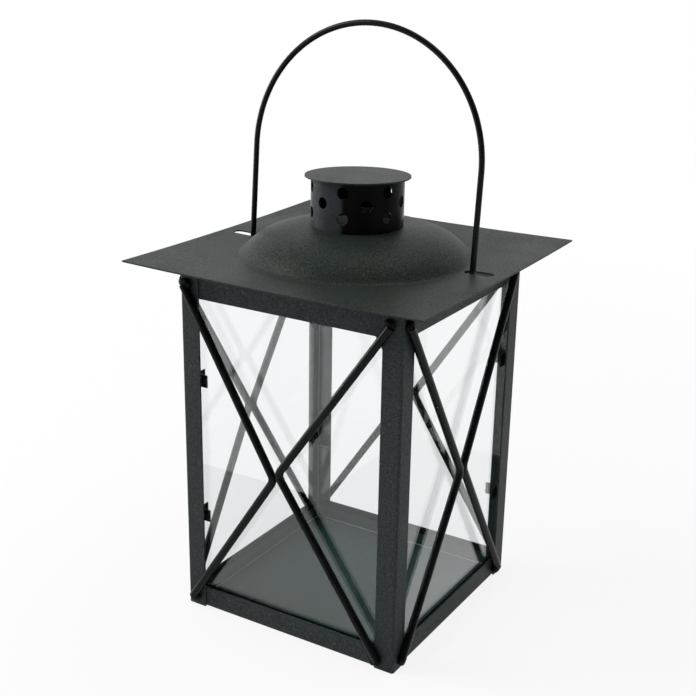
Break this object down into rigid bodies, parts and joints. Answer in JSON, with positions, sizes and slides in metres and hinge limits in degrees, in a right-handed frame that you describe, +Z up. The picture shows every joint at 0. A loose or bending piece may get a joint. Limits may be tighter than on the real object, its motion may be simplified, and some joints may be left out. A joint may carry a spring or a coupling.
{
  "type": "candle lantern",
  "caption": "Square glazed metal lantern for a candle, with a loose domed lid and chimney that slide up the legs of a wire carrying handle.",
  "frame": {"origin": "centre of the footprint, on the surface that the lantern stands on", "axes": "+Z up; +X to the right side, whose rail holds one foot of the handle; -Y to the front"},
  "size_m": [0.18, 0.18, 0.3303],
  "materials": {
    "frame_coat": "satin black powder coat",
    "lid_coat": "finely grained black powder coat",
    "rod_coat": "semi-gloss black paint",
    "wire_coat": "semi-gloss black paint",
    "clip_coat": "satin black powder coat",
    "clear_glass": "clear float glass"
  },
  "bodies": {
    "root": {"base_tray": "frame_coat", "corner_post_front_left": "frame_coat", "corner_post_front_right": "frame_coat", "corner_post_back_right": "frame_coat", "corner_post_back_left": "frame_coat", "top_rail_front": "frame_coat", "top_rail_right": "frame_coat", "top_rail_back": "frame_coat", "top_rail_left": "frame_coat", "glass_pane_front": "clear_glass", "glass_pane_right": "clear_glass", "glass_pane_back": "clear_glass", "glass_pane_left": "clear_glass", "brace_rod_front_left": "rod_coat", "brace_rod_front_right": "rod_coat", "brace_rod_right_left": "rod_coat", "brace_rod_right_right": "rod_coat", "brace_rod_back_left": "rod_coat", "brace_rod_back_right": "rod_coat", "brace_rod_left_left": "rod_coat", "brace_rod_left_right": "rod_coat", "glass_clip_front_left_upper": "clip_coat", "glass_clip_front_left_lower": "clip_coat", "glass_clip_front_right_upper": "clip_coat", "glass_clip_front_right_lower": "clip_coat", "glass_clip_back_right_upper": "clip_coat", "glass_clip_back_right_lower": "clip_coat", "glass_clip_back_left_upper": "clip_coat", "glass_clip_back_left_lower": "clip_coat"},
    "handle": {"handle": "wire_coat"},
    "lid": {"lid": "lid_coat", "chimney": "lid_coat", "chimney_cap": "lid_coat"}
  },
  "joints": [
    {"name": "handle_swing", "type": "hinge", "parent": "root", "child": "handle", "pos_m": [0, 0, 0.1958], "axis": [-1, 0, 0], "range_deg": [0, 45]},
    {"name": "lid_lift", "type": "slide", "parent": "handle", "child": "lid", "axis": [0, 0.0819, 0.9966], "range_m": [0, 0.065]}
  ],
  "couplings": [
    {"joint": "handle_swing", "follows": "lid_lift", "rad_per_m": 12.082}
  ]
}
